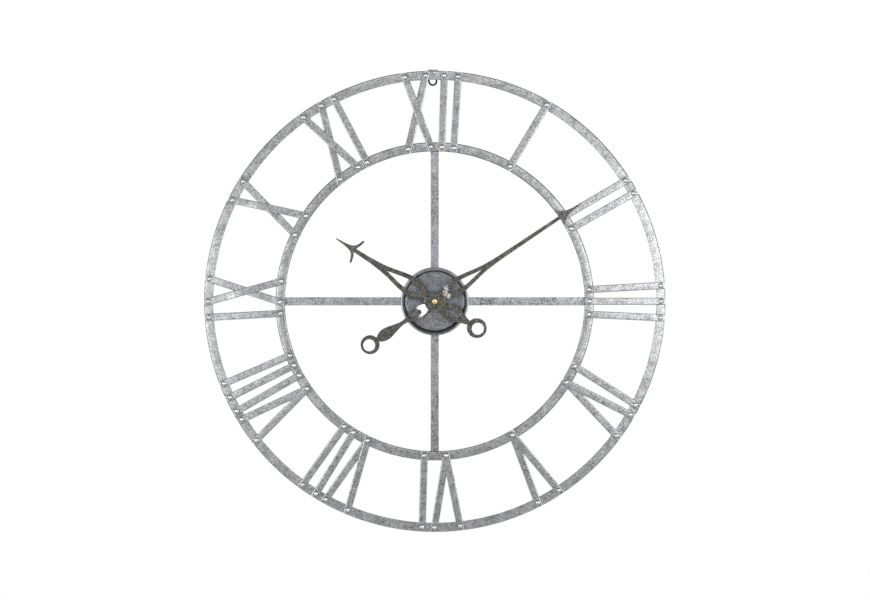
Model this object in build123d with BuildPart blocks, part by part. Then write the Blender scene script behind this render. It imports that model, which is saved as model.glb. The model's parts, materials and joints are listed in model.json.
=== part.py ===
from build123d import *
import os
from math import acos, asin, atan2, cos, degrees, hypot, pi, radians, sin

# Skeleton wall clock: two sheet-steel dial rings joined by riveted flat-bar Roman numerals, four
# spokes and a pressed hub pan, with a battery quartz movement behind the pan and two pierced hands.
# Millimetres. The origin is on the wall, straight behind the arbor. +Z is up, the front faces -Y,
# and a height h is a distance ahead of the wall, so the plane at h is Plane.XZ.offset(h).

# ---------------------------------------------------------------- driving dimensions
clock_diameter = 800.0

# dial rings
ring_sheet = 1.5
ring_front = 22.0
outer_band = 16.0
outer_bend = 2.8
rim_flange = 4.5
inner_ring_radius = 276.0
inner_band = 16.0
inner_bend = 3.0
channel_depth = 4.0
free_edge_round = 0.6

# numeral bars
bar_width = 12.5
bar_thick = 2.5
bar_edge_round = 1.8
joggle_ramp = 12.0
joggle_round = 12.0
joggle_margin = 1.0
bar_set_in = 0.5

# rivets
rivet_head_radius = 4.6
rivet_head_height = 2.4
rivet_shank_radius = 2.0
rivet_hole_gap = 0.05
rivet_tail_radius = 3.2
rivet_tail_height = 1.0

# spokes
spoke_width = 14.0
spoke_thick = 2.0
spoke_edge_round = 0.7
spoke_inner_end = 33.0
spoke_end_margin = 0.6

# hub pan
pan_sheet = 1.0
pan_radius = 59.0
pan_lip = 5.0
pan_depth = 6.5
pan_cove = 5.0
lip_curl = 1.2

# hanger
hanger_shift = -3.5
hanger_width = 17.3
hanger_thick = 2.0
hanger_back = 0.4
hanger_reach = 3.4
eye_wire_radius = 1.6
eye_centre_radius = 6.5
eye_leg_drop = 6.5
eye_corner = 2.5
eye_fit = 0.08
curl_wall = 1.5
curl_width = 7.4
notch_gap = 0.15
eye_bottom_below_band = 9.2

# movement case
case_size = 56.0
case_corner = 3.0
case_wall = 1.5
case_back = 1.5
cover_thick = 1.5
cover_ledge = 0.7
cover_gap = 0.15
bay_wall = 0.9

# stem that clamps the movement to the pan
stem_radius = 4.0
stem_length = 5.5
stem_hole_gap = 0.1
washer_radius = 8.0
washer_thick = 0.8
nut_across_flats = 11.0
nut_thick = 2.4

# battery, a size AA cell
cell_radius = 7.25
cell_length = 50.5
cell_nub_radius = 2.75
cell_nub_length = 1.0
contact_sheet = 0.4
cell_clearance = 0.25

# train plate
plate_thick = 1.0
plate_back = 5.6
plate_gap = 0.5
post_radius = 1.6
screw_radius = 0.7
screw_head_radius = 1.3
screw_head_height = 0.8
screw_depth = 4.0
screw_gap = 0.05

# arbors
pivot_radius = 0.5
arbor_radius = 0.8
pivot_fit = 0.05
end_shake = 0.1
socket_depth = 0.9
minute_arbor_radius = 1.2
minute_pipe_radius = 1.75
hour_pipe_wall = 0.75
pipe_fit = 0.05
minute_thread_radius = 1.4
press_gap = 0.02

# wheels: teeth counts and modules
tooth_share = 0.80
tip_share = 0.35
addendum = 0.85
dedendum = 1.15
minute_teeth, third_pinion_teeth, centre_module = 64, 8, 0.32
third_teeth, seconds_pinion_teeth, third_module = 60, 8, 0.32
seconds_teeth, intermediate_pinion_teeth, seconds_module = 40, 8, 0.36
intermediate_teeth, rotor_teeth, rotor_module = 48, 8, 0.30
cannon_teeth, motion_teeth, cannon_module = 12, 36, 0.50
motion_pinion_teeth, hour_teeth = 10, 40
wheel_thick = 1.0
thin_wheel = 0.7
pinion_over = 0.1

# heights of the wheels ahead of the wall
rotor_pinion_level = 6.9
seconds_level = 8.2
third_level = 9.4
centre_level = 11.0
cannon_level = 13.0
hour_level = 14.9

# directions from each arbor to the next, in degrees anticlockwise from +X seen from the front
third_bearing = 150.0
seconds_bearing = 80.0
intermediate_bearing = 170.0
rotor_bearing = 235.0
motion_bearing = 30.0
knob_bearing = 60.0

# stepping motor
magnet_radius = 2.6
magnet_length = 1.8
magnet_gap = 0.4
stator_sheet = 1.0
stator_left = -26.2
stator_right = -12.0
stator_bottom = -9.5
stator_leg = 2.0
pillar_radius = 0.9
core_width = 4.0
winding_radius = 2.9
winding_gap = 0.1

# circuit board and crystal
board_size = (20.0, 8.0)
board_thick = 0.8
board_centre = (-1.0, 21.5)
crystal_radius = 0.75
crystal_length = 6.0
chip_radius = 2.0
chip_height = 0.7

# setting knob
knob_radius = 6.0
knob_thick = 2.6
knob_recess = 0.2
knob_gap = 0.4
knob_grips = 24
knob_grip_depth = 0.35
knob_stem_radius = 1.0

# hands
hand_sheet = 1.2
hour_hand_level = 26.4
minute_hand_level = 30.5
hour_hand_angle = 302.5
minute_hand_angle = 56.15
boss_radius = 18.0
spike_end_half = 0.8
tail_ring_radius = 16.5
tail_hole_radius = 10.4
tail_hole_shift = 2.0
minute_hand_length = 305.0
minute_arrow_length = 39.0
minute_barb_half = 13.8
minute_shaft_half = 3.4
minute_shaft_start = 150.0
minute_loop_half = 14.7
minute_tail_half = 9.5
minute_leaf_half = 10.2
minute_ring_reach = 134.6
hour_hand_length = 202.5
hour_arrow_length = 39.0
hour_barb_half = 22.0
hour_shaft_half = 3.8
hour_loop_half = 17.0
hour_tail_half = 13.6
hour_ring_reach = 86.3
hand_nut_radius = 4.4
hand_nut_height = 3.4
nut_crown = 1.0
nut_end_gap = 0.1

# Numeral strokes, hour by hour, clockwise. Each is (sideways place at the outer rivet, the same at
# the inner rivet), measured clockwise from the hour's own line. A numeral's crossing pairs come
# first: in an X and in a V the first bar of the pair rides over the second.
crossing_strokes = {
    4: [((1.0, 7.8), (44.2, 7.8))],
    5: [((-22.3, -0.8), (20.0, -0.8))],
    6: [((-44.1, -19.7), (0.6, -19.7))],
    7: [((-50.3, -19.8), (-7.8, -19.8))],
    8: [((-54.0, -20.6), (-10.4, -20.6))],
    9: [((-0.5, 34.9), (38.9, -1.2))],
    10: [((-23.3, 16.6), (13.7, -21.2))],
    11: [((-37.8, 0.8), (-0.5, -36.7))],
    12: [((-52.0, -7.0), (-16.0, -46.0))],
}
single_strokes = {
    1: [(-2.0, -4.0)],
    2: [(-15.7, -15.0), (10.1, 9.3)],
    3: [(-27.3, -20.4), (0.0, 0.0), (28.5, 22.6)],
    4: [(-18.4, -23.9)],
    6: [(21.7, 18.2)],
    7: [(11.5, 8.5), (39.5, 27.5)],
    8: [(6.4, 6.2), (33.2, 25.6), (59.0, 44.1)],
    9: [(-27.8, -21.1)],
    11: [(23.8, 18.9)],
    12: [(16.5, 12.3), (40.6, 33.0)],
}

# ---------------------------------------------------------------- derived dimensions
outer_radius = clock_diameter / 2
outer_rivet_radius = outer_radius - outer_band / 2
rim_joint_radius = outer_radius - rim_flange
inner_rivet_radius = inner_ring_radius - inner_band / 2
rivet_hole_radius = rivet_shank_radius + rivet_hole_gap
ring_back = ring_front - ring_sheet
channel_back = ring_front - channel_depth
case_front = channel_back
bar_lap = outer_band / 2
inner_lap = inner_band / 2

case_half = case_size / 2
inside_half = case_half - case_wall
front_wall_back = case_front - case_wall
cover_front = case_back + cover_thick
cell_height = case_back + cell_clearance + cell_radius
cell_centre_z = -inside_half + cell_clearance + cell_radius
bay_top = cell_centre_z + cell_radius + cell_clearance
train_bottom = bay_top + bay_wall
plate_front = plate_back + plate_thick

hour_pipe_bore = minute_pipe_radius + pipe_fit
hour_pipe_radius = hour_pipe_bore + hour_pipe_wall
stem_bore = hour_pipe_radius + pipe_fit
stem_end = case_front + stem_length
hour_hand_front = hour_hand_level + hand_sheet
minute_hand_front = minute_hand_level + hand_sheet
minute_thread_end = minute_hand_front + hand_nut_height - nut_crown

centre_distance = centre_module * (minute_teeth + third_pinion_teeth) / 2
third_distance = third_module * (third_teeth + seconds_pinion_teeth) / 2
seconds_distance = seconds_module * (seconds_teeth + intermediate_pinion_teeth) / 2
rotor_distance = rotor_module * (intermediate_teeth + rotor_teeth) / 2
motion_distance = cannon_module * (cannon_teeth + motion_teeth) / 2
hour_module = 2 * motion_distance / (motion_pinion_teeth + hour_teeth)


def step(start, bearing, distance):
    """The point that lies so far from start in a direction on the dial plane."""
    return (start[0] + distance * cos(radians(bearing)), start[1] + distance * sin(radians(bearing)))


centre_place = (0.0, 0.0)
third_place = step(centre_place, third_bearing, centre_distance)
seconds_place = step(third_place, seconds_bearing, third_distance)
intermediate_place = step(seconds_place, intermediate_bearing, seconds_distance)
rotor_place = step(intermediate_place, rotor_bearing, rotor_distance)
motion_place = step(centre_place, motion_bearing, motion_distance)
knob_place = step(motion_place, knob_bearing, motion_distance)

os.makedirs("parts", exist_ok=True)


def save(builder, name):
    """Label a finished piece and write it as its own STEP file."""
    builder.part.label = name
    export_step(builder.part, f"parts/{name}.step")


def section(radius, height):
    """A point of a turned section: its radius from the arbor and its height ahead of the wall."""
    return (radius, -height)


def corner(sketch, radius, height):
    """The corner of a turned section that lies nearest to a radius and a height."""
    return sketch.vertices().sort_by_distance(Vector(radius, -height, 0))[0]


# ---------------------------------------------------------------- strokes and rivet places
def rivet_place(hour, sideways, radius):
    """Where a rivet sits on a ring: on its rivet circle, so far clockwise from the hour's line."""
    angle = radians(30 * hour) + asin(sideways / radius)
    return (radius * sin(angle), radius * cos(angle))


def stroke_ends(hour, stroke):
    """The inner and the outer rivet of a stroke."""
    return (
        rivet_place(hour, stroke[1], inner_rivet_radius),
        rivet_place(hour, stroke[0], outer_rivet_radius),
    )


def along(start, end):
    """The length from start to end and the unit direction."""
    length = hypot(end[0] - start[0], end[1] - start[1])
    return length, (end[0] - start[0]) / length, (end[1] - start[1]) / length


def crossing(front, back):
    """Where the front bar's line meets the back bar's, measured from the front bar's inner rivet,
    and how far along it the two bars still lie over each other."""
    _, fx, fz = along(*front)
    _, bx, bz = along(*back)
    turn = fx * bz - fz * bx
    dx, dz = back[0][0] - front[0][0], back[0][1] - front[0][1]
    place = (dx * bz - dz * bx) / turn
    angle = asin(min(1, abs(turn)))
    return place, bar_width / 2 * (1 + cos(angle)) / sin(angle) + joggle_margin


apex_places = [stroke_ends(h, pairs[0][0])[0] for h, pairs in crossing_strokes.items() if 4 <= h <= 8]
outer_places = []
inner_places = []
for hour in range(1, 13):
    strokes = [s for pair in crossing_strokes.get(hour, []) for s in pair] + single_strokes.get(hour, [])
    for stroke in strokes:
        inner_end, outer_end = stroke_ends(hour, stroke)
        outer_places.append(outer_end)
        if inner_end not in inner_places:
            inner_places.append(inner_end)

# ---------------------------------------------------------------- dial rings
# The outer ring is a flat band and a rolled rim that turns back to the wall, butt-welded together.
with BuildPart() as outer_band_ring:
    with BuildSketch(Plane.XY) as profile:
        with BuildLine():
            Polyline(
                section(outer_radius - outer_band, ring_front),
                section(rim_joint_radius, ring_front),
                section(rim_joint_radius, ring_back),
                section(outer_radius - outer_band, ring_back),
                close=True,
            )
        make_face()
        fillet(corner(profile, outer_radius - outer_band, ring_front), free_edge_round)
    revolve(axis=Axis.Y)
    with BuildSketch(Plane.XZ.offset(ring_front)):
        with Locations(*outer_places):
            Circle(rivet_hole_radius)
    extrude(amount=-2 * ring_sheet, mode=Mode.SUBTRACT)
save(outer_band_ring, "outer_band")

with BuildPart() as outer_rim:
    with BuildSketch(Plane.XY) as profile:
        with BuildLine():
            Polyline(
                section(rim_joint_radius, ring_front),
                section(outer_radius, ring_front),
                section(outer_radius, 0),
                section(outer_radius - ring_sheet, 0),
                section(outer_radius - ring_sheet, ring_back),
                section(rim_joint_radius, ring_back),
                close=True,
            )
        make_face()
        fillet(corner(profile, outer_radius, ring_front), outer_bend)
        fillet(corner(profile, outer_radius - ring_sheet, ring_back), outer_bend - ring_sheet)
    revolve(axis=Axis.Y)
    # the notch in the rim's back edge that the hanger plate sits in
    with BuildSketch(Plane.XZ):
        with Locations((hanger_shift, outer_radius)):
            Rectangle(hanger_width + 2 * notch_gap, outer_band)
    extrude(amount=hanger_back + hanger_thick + notch_gap, mode=Mode.SUBTRACT)
save(outer_rim, "outer_rim")

# The inner ring is a shallow channel, both of its edges turned back.
inner_hole_radius = inner_ring_radius - inner_band
with BuildPart() as inner_ring:
    with BuildSketch(Plane.XY) as profile:
        with BuildLine():
            Polyline(
                section(inner_hole_radius, channel_back),
                section(inner_hole_radius, ring_front),
                section(inner_ring_radius, ring_front),
                section(inner_ring_radius, channel_back),
                section(inner_ring_radius - ring_sheet, channel_back),
                section(inner_ring_radius - ring_sheet, ring_back),
                section(inner_hole_radius + ring_sheet, ring_back),
                section(inner_hole_radius + ring_sheet, channel_back),
                close=True,
            )
        make_face()
        for radius in (inner_hole_radius, inner_ring_radius):
            fillet(corner(profile, radius, ring_front), inner_bend)
        for radius in (inner_hole_radius + ring_sheet, inner_ring_radius - ring_sheet):
            fillet(corner(profile, radius, ring_back), inner_bend - ring_sheet)
    revolve(axis=Axis.Y)
    with BuildSketch(Plane.XZ.offset(ring_front)):
        with Locations(*inner_places):
            Circle(rivet_hole_radius)
    extrude(amount=-2 * ring_sheet, mode=Mode.SUBTRACT)
save(inner_ring, "inner_ring")


# ---------------------------------------------------------------- numeral bars
def make_bar(ends, raised=None):
    """A flat bar with rounded front edges, riveted to both rings. Where raised gives a stretch of
    it, measured from the inner rivet, that stretch is set forward by the thickness of one bar."""
    (x, z), _ = ends
    length, dx, dz = along(*ends)
    line_plane = Plane(origin=(x, -ring_front, z), x_dir=(dx, 0, dz), z_dir=(dz, 0, -dx))
    steps = [(-inner_lap, 0), (length + bar_lap, 0)]
    if raised:
        low, high = raised
        steps = [(high, bar_thick), (high + joggle_ramp, 0), (length + bar_lap, 0)]
        steps = (
            [(-inner_lap, 0), (low - joggle_ramp, 0), (low, bar_thick)] + steps
            if low > 0
            else [(-inner_lap, bar_thick)] + steps
        )
    with BuildPart() as bar:
        with BuildLine(line_plane) as route:
            if raised:
                FilletPolyline(*steps, radius=joggle_round)
            else:
                Line(*steps)
        with BuildSketch(Plane(origin=route.line @ 0, x_dir=(-dz, 0, dx), z_dir=(dx, 0, dz))):
            Rectangle(bar_width, bar_thick, align=(Align.CENTER, Align.MIN))
            fillet(vertices().group_by(Axis.Y)[-1], bar_edge_round)
        sweep()
        # the outer end is dressed to the ring's edge
        with BuildSketch(Plane.XZ.offset(ring_front)):
            Circle(outer_radius - bar_set_in)
        extrude(amount=3 * bar_thick, mode=Mode.INTERSECT)
        with BuildSketch(Plane.XZ.offset(ring_front)):
            with Locations(*ends):
                Circle(rivet_hole_radius)
        extrude(amount=3 * bar_thick, mode=Mode.SUBTRACT)
    return bar.part


for hour in range(1, 13):
    flat_bars = [make_bar(stroke_ends(hour, s)) for s in single_strokes.get(hour, [])]
    for front_stroke, back_stroke in crossing_strokes.get(hour, []):
        front, back = stroke_ends(hour, front_stroke), stroke_ends(hour, back_stroke)
        place, reach = crossing(front, back)
        flat_bars.append(make_bar(back))
        front_bar = make_bar(front, raised=(place - reach, place + reach))
        with BuildPart() as joggled_bar:
            add(front_bar)
        save(joggled_bar, f"numeral_{hour:02d}_joggled_bar")
    with BuildPart() as numeral:
        add(flat_bars)
    save(numeral, f"numeral_{hour:02d}_bars")


# ---------------------------------------------------------------- rivets
def make_rivet(bars_held):
    """A dome-headed rivet on the arbor's line, through one bar or two and the ring's sheet."""
    seat = ring_front + bars_held * bar_thick
    dome = (rivet_head_radius**2 + rivet_head_height**2) / (2 * rivet_head_height)
    half = asin(rivet_head_radius / dome) / 2
    with BuildPart() as rivet:
        with BuildSketch(Plane.XY):
            with BuildLine():
                Polyline(
                    section(0, seat + rivet_head_height),
                    section(0, ring_back - rivet_tail_height),
                    section(rivet_tail_radius, ring_back - rivet_tail_height),
                    section(rivet_tail_radius, ring_back),
                    section(rivet_shank_radius, ring_back),
                    section(rivet_shank_radius, seat),
                    section(rivet_head_radius, seat),
                )
                ThreePointArc(
                    section(rivet_head_radius, seat),
                    section(dome * sin(half), seat + rivet_head_height - dome * (1 - cos(half))),
                    section(0, seat + rivet_head_height),
                )
            make_face()
        revolve(axis=Axis.Y)
    return rivet.part


rivet = make_rivet(1)
apex_rivet = make_rivet(2)
with BuildPart() as outer_rivets:
    with Locations(*[(x, 0, z) for x, z in outer_places]):
        add(rivet)
save(outer_rivets, "outer_rivets")

with BuildPart() as inner_rivets:
    with Locations(*[(x, 0, z) for x, z in inner_places if (x, z) not in apex_places]):
        add(rivet)
    with Locations(*[(x, 0, z) for x, z in apex_places]):
        add(apex_rivet)
save(inner_rivets, "inner_rivets")

# ---------------------------------------------------------------- spokes
# Each spoke is welded to the back edges of the inner ring and to the back of the pan.
spoke_outer_end = inner_ring_radius - spoke_end_margin
for name, turn in (("top", 90), ("right", 0), ("bottom", -90), ("left", 180)):
    run = Vector(1, 0, 0).rotate(Axis.Y, -turn)
    with BuildPart() as spoke:
        with BuildSketch(Plane(origin=(0, -channel_back, 0), x_dir=run, z_dir=(0, -1, 0))):
            with Locations(((spoke_inner_end + spoke_outer_end) / 2, 0)):
                Rectangle(spoke_outer_end - spoke_inner_end, spoke_width)
        extrude(amount=-spoke_thick)
        front_face = faces().sort_by(Axis.Y)[0]
        fillet(front_face.edges().sort_by(SortBy.LENGTH)[-2:], spoke_edge_round)
    save(spoke, f"spoke_{name}")

# ---------------------------------------------------------------- hub pan
# A shallow pressed dish, open to the front, with a coved side and a lip rolled outwards.
pan_wall_radius = pan_radius - pan_lip
pan_lip_front = channel_back + pan_depth
with BuildPart() as hub_pan:
    with BuildSketch(Plane.XY) as profile:
        with BuildLine():
            Polyline(
                section(stem_radius + stem_hole_gap, channel_back),
                section(pan_wall_radius, channel_back),
                section(pan_wall_radius, pan_lip_front - pan_sheet),
                section(pan_radius - pan_sheet, pan_lip_front - pan_sheet),
                section(pan_radius - pan_sheet, pan_lip_front - pan_sheet - lip_curl),
                section(pan_radius, pan_lip_front - pan_sheet - lip_curl),
                section(pan_radius, pan_lip_front),
                section(pan_wall_radius - pan_sheet, pan_lip_front),
                section(pan_wall_radius - pan_sheet, channel_back + pan_sheet),
                section(stem_radius + stem_hole_gap, channel_back + pan_sheet),
                close=True,
            )
        make_face()
        fillet(corner(profile, pan_wall_radius, channel_back), pan_cove)
        fillet(corner(profile, pan_wall_radius - pan_sheet, channel_back + pan_sheet), pan_cove - pan_sheet)
        fillet(corner(profile, pan_radius, pan_lip_front), lip_curl)
        fillet(corner(profile, pan_wall_radius - pan_sheet, pan_lip_front), pan_sheet)
    revolve(axis=Axis.Y)
save(hub_pan, "hub_pan")

# ---------------------------------------------------------------- hanger
eye_bottom = outer_radius - outer_band - eye_bottom_below_band
eye_centre_z = eye_bottom + eye_wire_radius + eye_centre_radius
eye_leg_z = eye_centre_z + eye_leg_drop
curl_bore = eye_wire_radius + eye_fit
curl_radius = curl_bore + curl_wall
eye_height = hanger_back + curl_radius

# The plate sits in the rim's notch and is curled round the straight leg of the ring.
plate_top = outer_radius + hanger_reach
shoulder_z = eye_leg_z + curl_radius
with BuildPart() as hanger_plate:
    with BuildSketch(Plane.XZ.offset(hanger_back)):
        with Locations((hanger_shift, (shoulder_z + plate_top) / 2)):
            Rectangle(hanger_width, plate_top - shoulder_z)
        with Locations((hanger_shift, (eye_leg_z + plate_top) / 2)):
            Rectangle(curl_width, plate_top - eye_leg_z)
    extrude(amount=hanger_thick)
    with BuildSketch(Plane.YZ.offset(hanger_shift)):
        with Locations((-eye_height, eye_leg_z)):
            Circle(curl_radius)
    extrude(amount=curl_width / 2, both=True)
    with BuildSketch(Plane.YZ.offset(hanger_shift)):
        with Locations((-eye_height, eye_leg_z)):
            Circle(curl_bore)
    extrude(amount=curl_width, both=True, mode=Mode.SUBTRACT)
save(hanger_plate, "hanger_plate")

with BuildPart() as hanger_ring:
    with BuildLine(Plane.XZ.offset(eye_height)) as route:
        low = (hanger_shift, eye_centre_z - eye_centre_radius)
        right = (hanger_shift + eye_centre_radius, eye_centre_z)
        left = (hanger_shift - eye_centre_radius, eye_centre_z)
        ThreePointArc(left, low, right)
        FilletPolyline(
            right,
            (right[0], eye_leg_z),
            (left[0], eye_leg_z),
            left,
            radius=eye_corner,
        )
    with BuildSketch(Plane(origin=(hanger_shift + eye_centre_radius, -eye_height, eye_centre_z))):
        Circle(eye_wire_radius)
    sweep()
save(hanger_ring, "hanger_ring")

# ---------------------------------------------------------------- movement case and covers
post_places = [
    (inside_half - 2.0, train_bottom + 2.0),
    (inside_half - 2.0, inside_half - 2.0),
    (-inside_half + 2.0, inside_half - 2.0),
    (-10.0, train_bottom + 1.9),
]
stator_top = rotor_place[1] + magnet_radius + magnet_gap + 1.2
stator_back = cannon_level - magnet_gap
stator_front = stator_back + stator_sheet
pillar_places = [
    (stator_left + pillar_radius, stator_bottom + core_width / 2),
    (stator_right - pillar_radius, stator_bottom + core_width / 2),
    (stator_right - pillar_radius, stator_top - pillar_radius),
]
arbor_places = [third_place, seconds_place, intermediate_place, rotor_place, motion_place, knob_place]

with BuildPart() as movement_case:
    with BuildSketch(Plane.XZ.offset(case_back)):
        RectangleRounded(case_size, case_size, case_corner)
    extrude(amount=case_front - case_back)
    # the train's room and the seat of its cover
    train_height = inside_half - train_bottom
    with BuildSketch(Plane.XZ.offset(front_wall_back)):
        with Locations((0, (inside_half + train_bottom) / 2)):
            Rectangle(2 * inside_half, train_height)
    extrude(amount=-case_front, mode=Mode.SUBTRACT)
    with BuildSketch(Plane.XZ.offset(cover_front)):
        with Locations((0, (inside_half + cover_ledge + train_bottom) / 2)):
            Rectangle(2 * (inside_half + cover_ledge), train_height + cover_ledge)
    extrude(amount=-case_front, mode=Mode.SUBTRACT)
    # the battery bay
    with BuildSketch(Plane.XZ.offset(cell_height + cell_radius + cell_clearance)):
        with Locations((0, (bay_top - inside_half) / 2)):
            Rectangle(2 * inside_half, bay_top + inside_half)
    extrude(amount=-case_front, mode=Mode.SUBTRACT)
    # posts for the train plate and pillars for the stator
    with BuildSketch(Plane.XZ.offset(plate_front)):
        with Locations(*post_places):
            Circle(post_radius)
    extrude(amount=case_front - case_wall / 2 - plate_front)
    with BuildSketch(Plane.XZ.offset(plate_front)):
        with Locations(*post_places):
            Circle(screw_radius + screw_gap)
    extrude(amount=screw_depth, mode=Mode.SUBTRACT)
    with BuildSketch(Plane.XZ.offset(stator_front)):
        with Locations(*pillar_places):
            Circle(pillar_radius)
    extrude(amount=case_front - case_wall / 2 - stator_front)
    # the threaded stem, its bore and the arbors' front sockets
    with BuildSketch(Plane.XZ.offset(front_wall_back)):
        Circle(stem_radius)
    extrude(amount=stem_end - front_wall_back)
    chamfer(faces().sort_by(Axis.Y)[0].edges().sort_by(SortBy.RADIUS)[-1], 0.5)
    with BuildSketch(Plane.XZ.offset(stem_end)):
        Circle(stem_bore)
    extrude(amount=-stem_end, mode=Mode.SUBTRACT)
    with BuildSketch(Plane.XZ.offset(front_wall_back)):
        with Locations(*arbor_places):
            Circle(pivot_radius + pivot_fit)
    extrude(amount=socket_depth, mode=Mode.SUBTRACT)
save(movement_case, "movement_case")

with BuildPart() as movement_cover:
    cover_width = 2 * (inside_half + cover_ledge - cover_gap)
    cover_height = train_height + cover_ledge - 2 * cover_gap
    with BuildSketch(Plane.XZ.offset(case_back)):
        with Locations((0, (inside_half + cover_ledge + train_bottom) / 2)):
            Rectangle(cover_width, cover_height)
        with Locations(knob_place):
            Circle(knob_radius + knob_gap, mode=Mode.SUBTRACT)
    extrude(amount=cover_thick)
save(movement_cover, "movement_cover")

with BuildPart() as train_plate:
    with BuildSketch(Plane.XZ.offset(plate_back)):
        with Locations((0, (inside_half + train_bottom) / 2)):
            Rectangle(2 * (inside_half - plate_gap), train_height - 2 * plate_gap)
        with Locations(centre_place, *arbor_places[:-1]):
            Circle(pivot_radius + pivot_fit, mode=Mode.SUBTRACT)
        with Locations(knob_place):
            Circle(knob_stem_radius + pivot_fit, mode=Mode.SUBTRACT)
        with Locations(*post_places):
            Circle(screw_radius + screw_gap, mode=Mode.SUBTRACT)
    extrude(amount=plate_thick)
save(train_plate, "train_plate")

with BuildPart() as plate_screws:
    with BuildSketch(Plane.XZ.offset(plate_back)):
        with Locations(*post_places):
            Circle(screw_head_radius)
    extrude(amount=-screw_head_height)
    with BuildSketch(Plane.XZ.offset(plate_back)):
        with Locations(*post_places):
            Circle(screw_radius)
    extrude(amount=plate_thick + screw_depth - end_shake)
save(plate_screws, "plate_screws")

with BuildPart() as stem_washer:
    with BuildSketch(Plane.XZ.offset(channel_back + pan_sheet)):
        Circle(washer_radius)
        Circle(stem_radius + stem_hole_gap, mode=Mode.SUBTRACT)
    extrude(amount=washer_thick)
save(stem_washer, "stem_washer")

with BuildPart() as stem_nut:
    with BuildSketch(Plane.XZ.offset(channel_back + pan_sheet + washer_thick)):
        RegularPolygon(nut_across_flats / 2, 6, major_radius=False)
        Circle(stem_radius + press_gap, mode=Mode.SUBTRACT)
    extrude(amount=nut_thick)
save(stem_nut, "stem_nut")

# ---------------------------------------------------------------- battery and contacts
with BuildPart() as battery:
    with BuildSketch(Plane.YZ.offset(-cell_length / 2)):
        with Locations((-cell_height, cell_centre_z)):
            Circle(cell_radius)
    extrude(amount=cell_length - cell_nub_length)
    with BuildSketch(Plane.YZ.offset(cell_length / 2 - cell_nub_length)):
        with Locations((-cell_height, cell_centre_z)):
            Circle(cell_nub_radius)
    extrude(amount=cell_nub_length)
save(battery, "battery")

contact_pad = inside_half - cell_length / 2 - contact_sheet
for name, side, pad_radius in (("positive_contact", 1, 2.4), ("negative_contact", -1, 3.2)):
    with BuildPart() as contact:
        with BuildSketch(Plane.YZ.offset(side * inside_half)):
            with Locations((-cell_height, cell_centre_z)):
                Rectangle(10, 11)
        extrude(amount=-side * contact_sheet)
        with BuildSketch(Plane.YZ.offset(side * (inside_half - contact_sheet))):
            with Locations((-cell_height, cell_centre_z)):
                Circle(pad_radius)
        extrude(amount=-side * (contact_pad - end_shake))
    save(contact, name)

# ---------------------------------------------------------------- circuit board
with BuildPart() as circuit_board:
    with BuildSketch(Plane.XZ.offset(plate_back)):
        with Locations(board_centre):
            Rectangle(*board_size)
    extrude(amount=-board_thick)
    with BuildSketch(Plane.XZ.offset(plate_back - board_thick)):
        with Locations((board_centre[0] - 6, board_centre[1])):
            Circle(chip_radius)
    extrude(amount=-chip_height, taper=20)
save(circuit_board, "circuit_board")

with BuildPart() as quartz_crystal:
    with BuildSketch(Plane.YZ.offset(board_centre[0] + 1)):
        with Locations((-(plate_back - board_thick - crystal_radius), board_centre[1] + 2)):
            Circle(crystal_radius)
    extrude(amount=crystal_length)
save(quartz_crystal, "quartz_crystal")

# ---------------------------------------------------------------- stepping motor
with BuildPart() as stator:
    with BuildSketch(Plane.XZ.offset(stator_back)):
        stator_middle = ((stator_left + stator_right) / 2, (stator_bottom + stator_top) / 2)
        window_top = stator_bottom + core_width / 2 + winding_radius + 3 * winding_gap
        with Locations(stator_middle):
            Rectangle(stator_right - stator_left, stator_top - stator_bottom)
        with Locations((stator_middle[0], window_top)):
            Rectangle(
                stator_right - stator_left - 2 * stator_leg,
                2 * (window_top - stator_bottom),
                align=(Align.CENTER, Align.MAX),
                mode=Mode.SUBTRACT,
            )
        with Locations(rotor_place):
            Circle(magnet_radius + magnet_gap, mode=Mode.SUBTRACT)
    extrude(amount=stator_sheet)
save(stator, "stator")

with BuildPart() as coil_core:
    with BuildSketch(Plane.XZ.offset(stator_back)):
        with Locations((stator_middle[0], stator_bottom + core_width / 2)):
            Rectangle(stator_right - stator_left, core_width)
    extrude(amount=-stator_sheet)
save(coil_core, "coil_core")

with BuildPart() as coil_winding:
    winding_length = stator_right - stator_left - 2 * stator_leg - 2 * winding_gap
    core_height = stator_back - stator_sheet / 2
    with BuildSketch(Plane.YZ.offset(stator_middle[0])):
        with Locations((-core_height, stator_bottom + core_width / 2)):
            Circle(winding_radius)
            Rectangle(
                stator_sheet + 2 * winding_gap, core_width + 2 * winding_gap, mode=Mode.SUBTRACT
            )
    extrude(amount=winding_length / 2, both=True)
save(coil_winding, "coil_winding")


# ---------------------------------------------------------------- wheels
def make_wheel(place, level, thick, teeth, module, phase):
    """A toothed disc on its arbor's line. phase is the direction of the middle of one tooth."""
    pitch = module * teeth / 2
    root, tip = pitch - dedendum * module, pitch + addendum * module
    half = pi * module / 4 * tooth_share
    with BuildPart() as wheel:
        with BuildSketch(Plane.XZ.offset(level)):
            with Locations(place):
                Circle(root)
                with PolarLocations(0, teeth, start_angle=phase):
                    Polygon(
                        (root - module / 2, -half),
                        (pitch, -half),
                        (tip, -half * tip_share),
                        (tip, half * tip_share),
                        (pitch, half),
                        (root - module / 2, half),
                        align=None,
                    )
        extrude(amount=thick)
    return wheel.part


def make_pinion(place, mate_level, mate_thick, teeth, module, phase):
    """A pinion that stands a little past its mate on both sides."""
    return make_wheel(
        place, mate_level - pinion_over, mate_thick + 2 * pinion_over, teeth, module, phase
    )


def make_length(place, low, high, radius):
    """A plain round length between two heights."""
    with BuildPart() as length:
        with BuildSketch(Plane.XZ.offset(low)):
            with Locations(place):
                Circle(radius)
        extrude(amount=high - low)
    return length.part


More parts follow.
